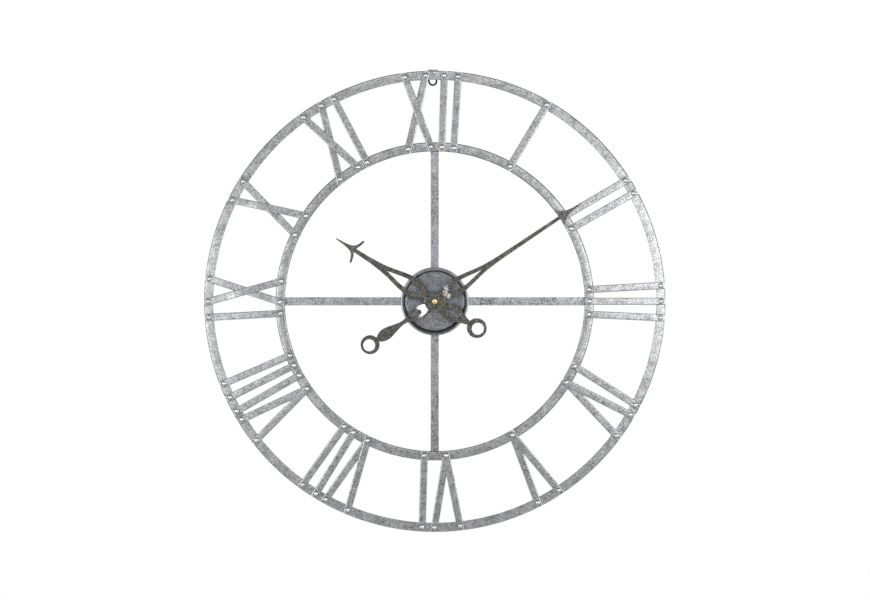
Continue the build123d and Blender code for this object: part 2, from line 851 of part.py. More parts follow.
def make_arbor(place):
    """A plain arbor between the train plate and the case front, with a pivot at each end."""
    with BuildPart() as plain_arbor:
        with BuildSketch(Plane.XZ.offset(plate_front + end_shake)):
            with Locations(place):
                Circle(arbor_radius)
        extrude(amount=front_wall_back - plate_front - 2 * end_shake)
        with BuildSketch(Plane.XZ.offset(plate_back)):
            with Locations(place):
                Circle(pivot_radius)
        extrude(amount=front_wall_back + socket_depth - end_shake - plate_back)
    return plain_arbor.part


def next_phase(phase, teeth, bearing, next_teeth):
    """The phase at which a wheel meshes with the one before it, which lies at the other end of
    bearing: a gap of the new wheel faces a tooth of the old one."""
    into_tooth = (bearing - phase) * teeth / 360
    return bearing + 180 - (0.5 - into_tooth) * 360 / next_teeth


third_pinion_phase = next_phase(0, minute_teeth, third_bearing, third_pinion_teeth)
seconds_pinion_phase = next_phase(0, third_teeth, seconds_bearing, seconds_pinion_teeth)
intermediate_pinion_phase = next_phase(
    0, seconds_teeth, intermediate_bearing, intermediate_pinion_teeth
)
rotor_phase = next_phase(0, intermediate_teeth, rotor_bearing, rotor_teeth)
motion_phase = next_phase(0, cannon_teeth, motion_bearing, motion_teeth)
knob_phase = next_phase(motion_phase, motion_teeth, knob_bearing, cannon_teeth)
hour_phase = next_phase(0, motion_pinion_teeth, motion_bearing + 180, hour_teeth)

minute_pieces = [
    make_length(centre_place, plate_back, plate_front + end_shake, pivot_radius),
    make_length(centre_place, plate_front + end_shake, cannon_level, minute_arbor_radius),
    make_length(centre_place, cannon_level, minute_hand_level, minute_pipe_radius),
    make_length(centre_place, minute_hand_level, minute_thread_end, minute_thread_radius),
    make_wheel(centre_place, centre_level, wheel_thick, minute_teeth, centre_module, 0),
    make_pinion(centre_place, cannon_level, wheel_thick, cannon_teeth, cannon_module, 0),
]
with BuildPart() as minute_wheel:
    add(minute_pieces)
save(minute_wheel, "minute_wheel")

third_pieces = [
    make_arbor(third_place),
    make_wheel(third_place, third_level, wheel_thick, third_teeth, third_module, 0),
    make_pinion(
        third_place, centre_level, wheel_thick, third_pinion_teeth, centre_module, third_pinion_phase
    ),
]
with BuildPart() as third_wheel:
    add(third_pieces)
save(third_wheel, "third_wheel")

seconds_pieces = [
    make_arbor(seconds_place),
    make_wheel(seconds_place, seconds_level, thin_wheel, seconds_teeth, seconds_module, 0),
    make_pinion(
        seconds_place,
        third_level,
        wheel_thick,
        seconds_pinion_teeth,
        third_module,
        seconds_pinion_phase,
    ),
]
with BuildPart() as seconds_wheel:
    add(seconds_pieces)
save(seconds_wheel, "seconds_wheel")

intermediate_pieces = [
    make_arbor(intermediate_place),
    make_wheel(
        intermediate_place, rotor_pinion_level, thin_wheel, intermediate_teeth, rotor_module, 0
    ),
    make_pinion(
        intermediate_place,
        seconds_level,
        thin_wheel,
        intermediate_pinion_teeth,
        seconds_module,
        intermediate_pinion_phase,
    ),
]
with BuildPart() as intermediate_wheel:
    add(intermediate_pieces)
save(intermediate_wheel, "intermediate_wheel")

magnet_back = stator_back + (stator_sheet - magnet_length) / 2
rotor_pieces = [
    make_arbor(rotor_place),
    make_length(rotor_place, magnet_back, magnet_back + magnet_length, magnet_radius),
    make_pinion(
        rotor_place, rotor_pinion_level, thin_wheel, rotor_teeth, rotor_module, rotor_phase
    ),
]
with BuildPart() as rotor:
    add(rotor_pieces)
save(rotor, "rotor")

motion_pieces = [
    make_arbor(motion_place),
    make_wheel(motion_place, cannon_level, wheel_thick, motion_teeth, cannon_module, motion_phase),
    make_pinion(motion_place, hour_level, wheel_thick, motion_pinion_teeth, hour_module, 0),
]
with BuildPart() as motion_wheel:
    add(motion_pieces)
save(motion_wheel, "motion_wheel")

hour_pieces = [
    make_wheel(centre_place, hour_level, wheel_thick, hour_teeth, hour_module, hour_phase),
    make_length(centre_place, hour_level, hour_hand_front, hour_pipe_radius),
]
with BuildPart() as hour_wheel:
    add(hour_pieces)
    with BuildSketch(Plane.XZ.offset(hour_level)):
        Circle(hour_pipe_bore)
    extrude(amount=hour_hand_front - hour_level, mode=Mode.SUBTRACT)
save(hour_wheel, "hour_wheel")

knob_back = case_back + knob_recess
knob_pieces = [
    make_length(knob_place, knob_back, knob_back + knob_thick, knob_radius),
    make_length(knob_place, knob_back, front_wall_back - end_shake, knob_stem_radius),
    make_length(knob_place, knob_back, front_wall_back + socket_depth - end_shake, pivot_radius),
    make_pinion(knob_place, cannon_level, wheel_thick, cannon_teeth, cannon_module, knob_phase),
]
with BuildPart() as setting_knob:
    add(knob_pieces)
    with BuildSketch(Plane.XZ.offset(knob_back)):
        with Locations(knob_place):
            with PolarLocations(knob_radius, knob_grips):
                Circle(knob_grip_depth)
    extrude(amount=knob_thick, mode=Mode.SUBTRACT)
save(setting_knob, "setting_knob")


# ---------------------------------------------------------------- hands
def hand_plane(angle, height):
    """A hand's own plane: x runs from the arbor to the hand's tip at a clock angle."""
    turn = radians(angle)
    return Plane(origin=(0, -height, 0), x_dir=(sin(turn), 0, cos(turn)), z_dir=(0, -1, 0))


# Each hand is drawn as the half outline on one side of its own line and mirrored.
with BuildPart() as minute_hand:
    with BuildSketch(hand_plane(minute_hand_angle, minute_hand_level)):
        Circle(boss_radius)
        # the blade: a pierced loop, a long tapering shaft and a barbed point
        with BuildLine():
            arrow = minute_hand_length - minute_arrow_length
            Polyline((0, 0), (0, 5), (boss_radius + 1, 5))
            Spline(
                (boss_radius + 1, 5),
                (25, 0.75 * minute_loop_half),
                (34, 0.94 * minute_loop_half),
                (46, minute_loop_half),
                (58, 0.94 * minute_loop_half),
                (80, 0.68 * minute_loop_half),
                (100, 0.44 * minute_loop_half),
                (125, minute_shaft_half + 1),
                (minute_shaft_start, minute_shaft_half + 0.4),
            )
            Line((minute_shaft_start, minute_shaft_half + 0.4), (arrow, minute_shaft_half - 0.5))
            Spline(
                (arrow, minute_shaft_half - 0.5),
                (arrow - 3, 0.5 * minute_barb_half),
                (arrow - 7, minute_barb_half - 2),
            )
            ThreePointArc(
                (arrow - 7, minute_barb_half - 2),
                (arrow - 6.6, minute_barb_half - 0.3),
                (arrow - 5, minute_barb_half),
            )
            Spline(
                (arrow - 5, minute_barb_half),
                (arrow + 2.5, 0.58 * minute_barb_half),
                (arrow + 12, minute_shaft_half + 0.5),
                (arrow + 18, 2.7),
                (arrow + 24, 1.8),
            )
            Line((arrow + 24, 1.8), (minute_hand_length, spike_end_half))
            Line((minute_hand_length, spike_end_half), (minute_hand_length, 0))
            mirror(about=Plane.XZ)
        make_face()
        # the tail: a small pierced loop, a leaf and an eccentric ring
        with BuildLine():
            waist = minute_ring_reach - tail_ring_radius
            Polyline((0, 0), (0, 5.5), (1 - boss_radius, 5.5))
            Spline(
                (1 - boss_radius, 5.5),
                (-24, 8.4),
                (-34, minute_tail_half),
                (-44, 0.94 * minute_tail_half),
                (-53, 0.63 * minute_tail_half),
                (-64, 3.5),
                (-78, 5.2),
                (-93, 0.89 * minute_leaf_half),
                (-104, minute_leaf_half),
                (5.5 - waist, 0.78 * minute_leaf_half),
                (-waist, 4.2),
            )
            Polyline((-waist, 4.2), (-waist - 5, 4.2), (-waist - 5, 0))
            mirror(about=Plane.XZ)
        make_face()
        with Locations((-minute_ring_reach, 0)):
            Circle(tail_ring_radius)
        with Locations((-minute_ring_reach - tail_hole_shift, 0)):
            Circle(tail_hole_radius, mode=Mode.SUBTRACT)
        # the openings of the two loops
        with BuildLine():
            Spline(
                (27, 0),
                (27.6, 1.9),
                (31, 0.24 * minute_loop_half),
                (42, 0.37 * minute_loop_half),
                (55, 0.41 * minute_loop_half),
                (72, 0.29 * minute_loop_half),
                (97, 0),
            )
            mirror(about=Plane.XZ)
        make_face(mode=Mode.SUBTRACT)
        with BuildLine():
            Spline(
                (-28.5, 0),
                (-28.9, 1.9),
                (-31, 0.41 * minute_tail_half),
                (-38, 0.5 * minute_tail_half),
                (-47.5, 0.27 * minute_tail_half),
                (-57, 0),
            )
            mirror(about=Plane.XZ)
        make_face(mode=Mode.SUBTRACT)
        Circle(minute_thread_radius + press_gap, mode=Mode.SUBTRACT)
    extrude(amount=hand_sheet)
save(minute_hand, "minute_hand")

with BuildPart() as hour_hand:
    with BuildSketch(hand_plane(hour_hand_angle, hour_hand_level)):
        Circle(boss_radius)
        # the blade: a broad pierced loop, a short shaft and an anchor-shaped point
        with BuildLine():
            arrow = hour_hand_length - hour_arrow_length
            Polyline((0, 0), (0, 6), (boss_radius - 1, 6))
            Spline(
                (boss_radius - 1, 6),
                (21, 9),
                (27, 0.81 * hour_loop_half),
                (36, 0.96 * hour_loop_half),
                (47, hour_loop_half),
                (58, 0.96 * hour_loop_half),
                (70, 0.84 * hour_loop_half),
                (90, 0.56 * hour_loop_half),
                (120, 0.31 * hour_loop_half),
                (arrow - 13, hour_shaft_half),
            )
            Line((arrow - 13, hour_shaft_half), (arrow, hour_shaft_half - 0.4))
            Spline(
                (arrow, hour_shaft_half - 0.4),
                (arrow - 2.5, 0.43 * hour_barb_half),
                (arrow - 4.7, 0.73 * hour_barb_half),
                (arrow - 5.7, hour_barb_half - 1.2),
            )
            ThreePointArc(
                (arrow - 5.7, hour_barb_half - 1.2),
                (arrow - 4.2, hour_barb_half + 0.2),
                (arrow - 2.3, hour_barb_half - 0.6),
            )
            Spline(
                (arrow - 2.3, hour_barb_half - 0.6),
                (arrow - 0.4, 0.73 * hour_barb_half),
                (arrow + 2.5, 0.46 * hour_barb_half),
                (arrow + 8.5, hour_shaft_half + 1.2),
                (arrow + 15, 3.2),
                (arrow + 22, 2.2),
            )
            Line((arrow + 22, 2.2), (hour_hand_length, spike_end_half))
            Line((hour_hand_length, spike_end_half), (hour_hand_length, 0))
            mirror(about=Plane.XZ)
        make_face()
        # the tail: a pierced loop and an eccentric ring
        with BuildLine():
            waist = hour_ring_reach - tail_ring_radius
            Polyline((0, 0), (0, 7), (1 - boss_radius, 7))
            Spline(
                (1 - boss_radius, 7),
                (-24, 0.81 * hour_tail_half),
                (-32, hour_tail_half),
                (-41, 0.99 * hour_tail_half),
                (-50, 0.79 * hour_tail_half),
                (9.3 - waist, 6.6),
                (-waist, 4.3),
            )
            Polyline((-waist, 4.3), (-waist - 5, 4.3), (-waist - 5, 0))
            mirror(about=Plane.XZ)
        make_face()
        with Locations((-hour_ring_reach, 0)):
            Circle(tail_ring_radius + 0.7)
        with Locations((-hour_ring_reach - tail_hole_shift, 0)):
            Circle(tail_hole_radius, mode=Mode.SUBTRACT)
        with BuildLine():
            Spline(
                (31, 0),
                (31.5, 2.4),
                (34, 0.31 * hour_loop_half),
                (44, 0.46 * hour_loop_half),
                (57, 0.46 * hour_loop_half),
                (74, 0.31 * hour_loop_half),
                (98, 0),
            )
            mirror(about=Plane.XZ)
        make_face(mode=Mode.SUBTRACT)
        with BuildLine():
            Spline(
                (-29, 0),
                (-29.5, 2.4),
                (-32, 0.37 * hour_tail_half),
                (-38, 0.44 * hour_tail_half),
                (-47, 0.25 * hour_tail_half),
                (-56, 0),
            )
            mirror(about=Plane.XZ)
        make_face(mode=Mode.SUBTRACT)
        Circle(hour_pipe_radius + press_gap, mode=Mode.SUBTRACT)
    extrude(amount=hand_sheet)
save(hour_hand, "hour_hand")

with BuildPart() as hand_nut:
    with BuildSketch(Plane.XY) as profile:
        with BuildLine():
            Polyline(
                section(minute_thread_radius + press_gap, minute_hand_front),
                section(hand_nut_radius, minute_hand_front),
                section(hand_nut_radius, minute_hand_front + hand_nut_height / 2),
                section(hand_nut_radius / 2, minute_hand_front + hand_nut_height),
                section(0, minute_hand_front + hand_nut_height),
                section(0, minute_thread_end + nut_end_gap),
                section(minute_thread_radius + press_gap, minute_thread_end + nut_end_gap),
                close=True,
            )
        make_face()
        fillet(corner(profile, hand_nut_radius, minute_hand_front + hand_nut_height / 2), 1.0)
        fillet(corner(profile, hand_nut_radius / 2, minute_hand_front + hand_nut_height), 1.2)
    revolve(axis=Axis.Y)
save(hand_nut, "hand_nut")
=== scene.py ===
"""Dresses the skeleton wall clock: galvanised sheet and bar, dark pewter hands, brass and plastics.

Sizes are in millimetres until they reach a mesh or a node, and MM turns them into metres.
The dial faces -Y, +Z is up, and the wall is the plane y = 0.
"""
import json
from math import cos, pi, radians, sin, tan

import bmesh
import bpy
from mathutils import Matrix, Vector


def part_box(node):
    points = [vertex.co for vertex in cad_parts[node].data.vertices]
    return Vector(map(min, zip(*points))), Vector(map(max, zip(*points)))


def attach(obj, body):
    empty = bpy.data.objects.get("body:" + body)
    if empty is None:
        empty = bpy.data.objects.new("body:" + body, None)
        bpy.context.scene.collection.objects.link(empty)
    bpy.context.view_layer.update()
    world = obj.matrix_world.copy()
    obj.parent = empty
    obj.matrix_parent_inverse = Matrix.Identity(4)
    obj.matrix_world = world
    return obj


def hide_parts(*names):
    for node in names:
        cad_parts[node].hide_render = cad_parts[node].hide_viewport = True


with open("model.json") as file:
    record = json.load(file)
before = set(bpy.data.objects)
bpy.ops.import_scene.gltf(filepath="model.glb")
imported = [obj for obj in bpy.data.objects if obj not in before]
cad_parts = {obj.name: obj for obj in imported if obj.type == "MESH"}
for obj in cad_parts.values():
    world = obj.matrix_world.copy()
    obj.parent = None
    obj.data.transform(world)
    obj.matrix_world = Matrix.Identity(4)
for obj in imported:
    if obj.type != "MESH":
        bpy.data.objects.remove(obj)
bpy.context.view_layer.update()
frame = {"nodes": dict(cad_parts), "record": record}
nodes = frame["nodes"]
MM = 0.001

# the turned sheet pieces, whose heights are distances ahead of the wall
RING_FRONT = 22.0
RING_SHEET = 1.5
RIM_FLANGE = 4.5
RIM_BEND = 2.8
HANGER_FRONT = 2.4
NOTCH_GAP = 0.15
CHANNEL_WIDTH = 16.0
CHANNEL_DEPTH = 4.0
CHANNEL_BEND = 3.0
PAN_SHEET = 1.0
PAN_LIP = 5.0
PAN_BACK = RING_FRONT - CHANNEL_DEPTH
PAN_DEPTH = 6.5
PAN_COVE = 5.0
PAN_HOLE = 4.1
LIP_CURL = 1.2
SPIN_STEPS = 256
ARC_STEPS = 7

# the hands: the minute hand's clock angle in degrees, its boss, and the nut's dome
MINUTE_ANGLE = 56.15
BOSS_RADIUS = 18.0
BOSS_RISE = 0.5
NUT_DOME = 2.0

# the tilted sheet beside the minute hand's boss: how many degrees its line is turned from the
# hand's own, where along that line each tilted stretch starts and ends, and how steep it is
ROOT_TURN = 25.0
TAIL_ROOT = (-38.0, -10.0)
TAIL_SLOPE = 0.2
BLADE_ROOT = (12.0, 30.0)
BLADE_SLOPE = 0.1

# the width of the hands' and the spokes' broken edges, and the edge angles in degrees below which
# faces are shaded smooth and above which an edge is broken
CUT_EDGE = 0.45
SPOKE_EDGE = 0.9
SMOOTH_ANGLE = 32
BEVEL_ANGLE = 40

# the finishes: the roughness of a worn zinc edge, and where a bend's facing (1 straight out of the
# dial, 0 at right angles to it) starts and ends as worn, and where the edge colour is darker, as
# painted shade, on a flat bar earlier than on a sheet
EDGE_ROUGHNESS = 0.25
SHEET_BEND = (0.9, 0.62)
BAR_BEND = (0.97, 0.86)
BEND_END = (0.45, 0.15)

rim_radius = -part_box("outer_rim")[0].x / MM
channel_radius = -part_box("inner_ring")[0].x / MM
pan_radius = -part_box("hub_pan")[0].x / MM
pan_wall = pan_radius - PAN_LIP


# ------------------------------------------------------------------ materials
def linear(colour):
    """An sRGB hex colour such as "8a8d90" as linear red, green, blue and 1."""
    parts = [int(colour[i : i + 2], 16) / 255 for i in (0, 2, 4)]
    return [c / 12.92 if c <= 0.04045 else ((c + 0.055) / 1.055) ** 2.4 for c in parts] + [1.0]


def add(tree, kind, settings=None, **inputs):
    """One node with its settings, and its sockets given a value or another node's socket."""
    made = tree.nodes.new(kind)
    for name, value in (settings or {}).items():
        setattr(made, name, value)
    for name, value in inputs.items():
        socket = made.inputs[int(name[1:]) if name[1:].isdigit() else name.replace("_", " ")]
        if isinstance(value, bpy.types.NodeSocket):
            tree.links.new(value, socket)
        else:
            socket.default_value = value
    return made


def material(name, **surface):
    """A material with a Principled surface. Returns it with its tree, its shader and its place."""
    made = bpy.data.materials.new(name)
    made.use_nodes = True
    tree = made.node_tree
    shader = tree.nodes["Principled BSDF"]
    for key, value in surface.items():
        shader.inputs[key.replace("_", " ")].default_value = value
    place = add(tree, "ShaderNodeTexCoord").outputs["Object"]
    return made, tree, shader, place


def ramp(tree, factor, *stops):
    """A colour ramp through (position, hex colour) stops."""
    made = add(tree, "ShaderNodeValToRGB", Fac=factor)
    elements = made.color_ramp.elements
    for index, (position, colour) in enumerate(stops):
        element = elements[index] if index < 2 else elements.new(position)
        element.position = position
        element.color = linear(colour)
    return made.outputs["Color"]


def per_metre(size):
    """A texture's scale for a feature of that size in millimetres."""
    return 1 / (size * MM)


def between(tree, value, low, high):
    """0 up to the low value and 1 from the high one on, which may be the smaller of the two."""
    made = add(tree, "ShaderNodeMapRange", {"interpolation_type": "SMOOTHSTEP"}, Value=value)
    for name, limit in (("From Min", low), ("From Max", high)):
        made.inputs[name].default_value = limit
    return made.outputs[0]


def work(tree, operation, *values):
    """The result of one sum on sockets or numbers."""
    inputs = {f"_{index}": value for index, value in enumerate(values)}
    return add(tree, "ShaderNodeMath", {"operation": operation}, **inputs).outputs[0]


def facing_away(tree, flat, turned):
    """0 on faces that look straight out of the dial and 1 on those turned well away from it."""
    normal = add(tree, "ShaderNodeTexCoord").outputs["Normal"]
    front = add(tree, "ShaderNodeSeparateXYZ", Vector=normal).outputs["Y"]
    return between(tree, work(tree, "ABSOLUTE", front), flat, turned)


def noise(tree, place, size, detail=3.0):
    """A cloudy value about 0.5 with clouds of that size in millimetres."""
    made = add(tree, "ShaderNodeTexNoise", Vector=place, Scale=per_metre(size), Detail=detail)
    return made.outputs["Fac"]


def mix_colour(tree, factor, first, second):
    """The first colour where the factor is 0 and the second where it is 1."""
    made = add(tree, "ShaderNodeMix", {"data_type": "RGBA"}, _0=factor, _6=first, _7=second)
    return made.outputs[2]


def arbor_distance(tree, place):
    """How far a point lies from the arbor's line, in millimetres."""
    flat = add(
        tree, "ShaderNodeVectorMath", {"operation": "MULTIPLY"}, _0=place, _1=(1000, 0, 1000)
    ).outputs[0]
    return add(tree, "ShaderNodeVectorMath", {"operation": "LENGTH"}, _0=flat).outputs["Value"]


def background_rays(tree, strength):
    """That strength for rays that look straight, through glass or off metal, and 0 for the rest."""
    rays = add(tree, "ShaderNodeLightPath").outputs
    seen = work(tree, "MAXIMUM", rays["Is Camera Ray"], rays["Is Transmission Ray"])
    return work(tree, "MULTIPLY", work(tree, "MAXIMUM", seen, rays["Is Glossy Ray"]), strength)


def galvanised(
    name,
    dark,
    light,
    spangle,
    grain,
    roughness=0.38,
    edge=None,
    stain=0.0,
    relief=0.15,
    bend=SHEET_BEND,
):
    """Hot-dip galvanised steel. The zinc freezes in crystals, the spangle, whose facets each catch
    the light a little differently, with a fine cloudy bloom over them. Both sizes and the relief of
    the bloom are in millimetres. Where edge gives a colour, the rounded edges, whose faces turn
    from the dial's front as bend says, are smoother and take that colour, as zinc wears at an edge;
    where that colour is darker than the sheet, it is painted shade on the bends. Stain is how dark
    the weathered specks are that gather in some stretches."""
    made, tree, shader, place = material(name, Metallic=1.0)
    crystals = add(tree, "ShaderNodeTexVoronoi", Vector=place, Scale=per_metre(spangle))
    facet = add(tree, "ShaderNodeSeparateColor", Color=crystals.outputs["Color"]).outputs[0]
    bloom = noise(tree, place, grain, 4.0)
    drift = noise(tree, place, 13)
    cloud = work(tree, "MULTIPLY_ADD", facet, 0.1, work(tree, "MULTIPLY", bloom, 0.8))
    cloud = work(tree, "MULTIPLY_ADD", drift, 0.24, cloud)
    colour = ramp(tree, cloud, (0.42, dark), (0.72, light))
    if stain:
        specks = between(tree, noise(tree, place, 2.6), 0.5, 0.62)
        gathered = between(tree, noise(tree, place, 30, 1.0), 0.42, 0.6)
        speck = work(tree, "MULTIPLY", work(tree, "MULTIPLY", specks, gathered), stain)
        colour = mix_colour(tree, speck, colour, linear("3a3b3b"))
    rough = work(tree, "MULTIPLY_ADD", facet, 0.04, roughness - 0.02)
    if edge:
        # The bends take the edge colour: wear, and where that colour is darker than the sheet,
        # painted shade.
        worn = work(tree, "SUBTRACT", facing_away(tree, *bend), facing_away(tree, *BEND_END))
        colour = mix_colour(tree, worn, colour, linear(edge))
        rough = add(tree, "ShaderNodeMix", _0=worn, _2=rough, _3=EDGE_ROUGHNESS).outputs[0]
    tree.links.new(colour, shader.inputs["Base Color"])
    tree.links.new(rough, shader.inputs["Roughness"])
    bump = add(tree, "ShaderNodeBump", Strength=0.25, Distance=relief * MM, Height=bloom)
    tree.links.new(bump.outputs[0], shader.inputs["Normal"])
    return made


def pan_finish():
    """Darker galvanised sheet for the hub pan: finely speckled, with painted shade in the cove inside
    its lip, deepest towards the bottom, and a painted highlight on the lip's outer edge at the sides."""
    made = galvanised(
        "galvanised_pan", "393c40", "777a7e", spangle=1.8, grain=1.4, roughness=0.42, stain=0.2
    )
    tree = made.node_tree
    shader = tree.nodes["Principled BSDF"]
    place = add(tree, "ShaderNodeTexCoord").outputs["Object"]
    radius = arbor_distance(tree, place)
    axes = add(tree, "ShaderNodeSeparateXYZ", Vector=place).outputs
    low = between(tree, axes["Z"], 50 * MM, -50 * MM)
    start = work(tree, "MULTIPLY_ADD", low, -3.0, pan_wall - 2.5)
    stop = work(tree, "MULTIPLY_ADD", low, 2.5, pan_wall + 0.5)
    past_start = between(tree, work(tree, "SUBTRACT", radius, start), 0, 2.5)
    before_stop = between(tree, work(tree, "SUBTRACT", radius, stop), 0, -1)
    cove = work(tree, "MULTIPLY", past_start, before_stop)
    # Painted shade: the cove, and towards the bottom the inner part of the lip, are drawn darker.
    cove_painted_shade = work(tree, "MULTIPLY", cove, 0.8)
    colour = shader.inputs["Base Color"].links[0].from_socket
    colour = mix_colour(tree, cove_painted_shade, colour, linear("232526"))
    # Painted highlight: the lip's outer edge is drawn paler at the left and right.
    sides = between(tree, work(tree, "ABSOLUTE", axes["X"]), 15 * MM, 50 * MM)
    past_lip = between(tree, radius, pan_radius - 2.4, pan_radius - 1.6)
    before_edge = between(tree, radius, pan_radius - 0.6, pan_radius - 1.0)
    lip_painted_highlight = work(tree, "MULTIPLY", work(tree, "MULTIPLY", sides, past_lip), before_edge)
    colour = mix_colour(tree, lip_painted_highlight, colour, linear("9c9e9e"))
    tree.links.new(colour, shader.inputs["Base Color"])
    return made


def pewter(name, angle=None):
    """Blackened pewter-toned steel sheet: dark and finely speckled, with clouds of brown near the
    boss and a thin clear lacquer. Its cut edges are bare and drawn pale, partly as a painted
    highlight.
    Where angle gives a hand's clock angle, the sheet beside its boss is tilted there, as the blow
    that set the boss left it, and the tilted stretches carry a pale painted highlight."""
    made, tree, shader, place = material(name, Metallic=0.8, Coat_Weight=0.5, Coat_Roughness=0.12)
    speck = noise(tree, place, 1.5, 4.0)
    patch = noise(tree, place, 8, 2.0)
    mixed = work(tree, "MULTIPLY_ADD", patch, 0.3, speck)
    colour = ramp(tree, mixed, (0.46, "0c0c0b"), (0.64, "282825"), (0.82, "6a6760"))
    radius = arbor_distance(tree, place)
    brown = work(tree, "MULTIPLY", between(tree, radius, 60, 15), between(tree, patch, 0.45, 0.62))
    colour = mix_colour(tree, work(tree, "MULTIPLY", brown, 0.35), colour, linear("3a2a20"))
    height = work(tree, "MULTIPLY", speck, 0.05 * MM)
    if angle is not None:
        turn = radians(angle + ROOT_TURN)
        across = add(
            tree,
            "ShaderNodeVectorMath",
            {"operation": "DOT_PRODUCT"},
            _0=place,
            _1=(1000 * sin(turn), 0, 1000 * cos(turn)),
        ).outputs["Value"]
        mottle = between(tree, noise(tree, place, 3), 0.36, 0.64)
        for (start, end), slope, bright in (
            (TAIL_ROOT, TAIL_SLOPE, 0.85),
            (BLADE_ROOT, BLADE_SLOPE, work(tree, "MULTIPLY", mottle, 0.65)),
        ):
            eased = between(tree, across, start, end)
            height = work(tree, "MULTIPLY_ADD", eased, (start - end) * slope * MM, height)
            inside = between(tree, across, start + 2, start + 8)
            inside = work(tree, "MULTIPLY", inside, between(tree, across, end, end - 2))
            inside = work(tree, "MULTIPLY", inside, between(tree, radius, 40, 26))
            # Painted highlight: the tilted stretches beside the boss are drawn pale.
            root_painted_highlight = work(tree, "MULTIPLY", inside, bright)
            colour = mix_colour(tree, root_painted_highlight, colour, linear("a8a49e"))
    # Bare cut edges, drawn pale enough that they are also a painted highlight.
    colour = mix_colour(tree, facing_away(tree, 0.97, 0.8), colour, linear("96928a"))
    tree.links.new(colour, shader.inputs["Base Color"])
    shader.inputs["Roughness"].default_value = 0.42
    bump = add(tree, "ShaderNodeBump", Strength=1.0, Distance=1.0, Height=height)
    tree.links.new(bump.outputs[0], shader.inputs["Normal"])
    tree.links.new(bump.outputs[0], shader.inputs["Coat Normal"])
    return made


def plain(name, dark, light, grain, depth=0.05, **surface):
    """A finish with a fine, even mottle between two close colours and a grain of that size."""
    made, tree, shader, place = material(name, **surface)
    mottle = noise(tree, place, grain)
    tree.links.new(ramp(tree, mottle, (0.3, dark), (0.7, light)), shader.inputs["Base Color"])
    bump = add(tree, "ShaderNodeBump", Strength=0.3, Distance=depth * MM, Height=mottle)
    tree.links.new(bump.outputs[0], shader.inputs["Normal"])
    return made


# Each material slot of the part, in the finish that such a clock has. The mottle of plastics, wire
# and plating is drawn coarser than the real grain, so that it shows.
finishes = {
    # the rings' sheet: soft grey clouds, a few weathered stretches and bends painted darker as shade
    "galvanised_steel": galvanised(
        "galvanised_sheet",
        "58595b",
        "959697",
        spangle=4,
        grain=1.8,
        edge="5a5c5e",
        stain=0.35,
        relief=0.03,
    ),
    # the numerals' bar: livelier clouds, dark weathered specks and bright rubbed edges
    "galvanised_bar": galvanised(
        "galvanised_flat_bar",
        "515254",
        "97989a",
        spangle=2.4,
        grain=1.5,
        edge="86888a",
        stain=0.45,
        relief=0.06,
        bend=BAR_BEND,
    ),
    # zinc plate: a smooth, even crown that gleams, and painted shade as a dark shoulder round it
    "rivet_steel": galvanised(
        "zinc_plated_rivet",
        "8a8b8c",
        "9c9d9d",
        spangle=4,
        grain=1.5,
        roughness=0.22,
        edge="3c3d3e",
        relief=0.02,
    ),
    # enamelled wire: near black with hardly a gleam
    "black_wire": plain(
        "black_enamel_wire", "080808", "101011", 1.5, Roughness=0.5, Specular_IOR_Level=0.15
    ),
    "dark_pewter": pewter("blackened_pewter"),
    # turned brass: a warm, clean gleam with a little tarnish in clouds
    "brass": plain("turned_brass", "94814c", "c2b078", 1.2, 0.02, Metallic=1.0, Roughness=0.22),
    # moulded ABS: even, with the dull shine of a finely textured mould
    "black_plastic": plain("moulded_black_abs", "131314", "1d1d1f", 0.6, Roughness=0.5),
    "knob_plastic": plain("moulded_grey_abs", "9b9b98", "aaaaa6", 0.6, Roughness=0.45),
    # acetal as it comes: a milky, slightly waxy white
    "white_plastic": plain("natural_acetal", "d4d0c2", "e3e0d4", 0.8, Roughness=0.38),
    # nickel plate: a pale, faintly warm metal shine
    "plated_steel": plain("nickel_plate", "9d9b96", "bcbab4", 1.0, Metallic=1.0, Roughness=0.25),
    # solder resist: a glossy green lacquer
    "board": plain("solder_resist", "0f4a2c", "17613b", 1.2, Roughness=0.25),
    # fine copper wire in clear enamel: a red-brown sheen
    "copper_wire": plain("enamelled_copper", "8a3d1c", "b5602f", 0.5, Metallic=0.9, Roughness=0.3),
    # a sintered magnet: dark, dull metal with a fine grain
    "magnet": plain("sintered_magnet", "2f3033", "44464a", 0.5, Metallic=0.8, Roughness=0.4),
    # a shrunk film without print: smooth dark grey
    "cell_sleeve": plain("plain_cell_sleeve", "2a2c31", "33363c", 1.0, Roughness=0.3),
    # moulded rubber: black and without shine
    "rubber": plain("moulded_rubber", "111111", "1a1a1a", 0.6, Roughness=0.7),
}
# The spokes are a bluer zinc with their bends painted darker as shade, the pan is darker, and the
# minute hand's sheet is tilted and carries a painted highlight.
spoke_zinc = galvanised(
    "galvanised_spoke",
    "55585b",
    "95989c",
    spangle=2.2,
    grain=1.6,
    roughness=0.4,
    edge="484b4e",
    stain=0.95,
)
special = {"hub_pan": pan_finish(), "minute_hand": pewter("blackened_pewter_painted_highlight", MINUTE_ANGLE)}
special.update({f"spoke_{side}": spoke_zinc for side in ("top", "right", "bottom", "left")})

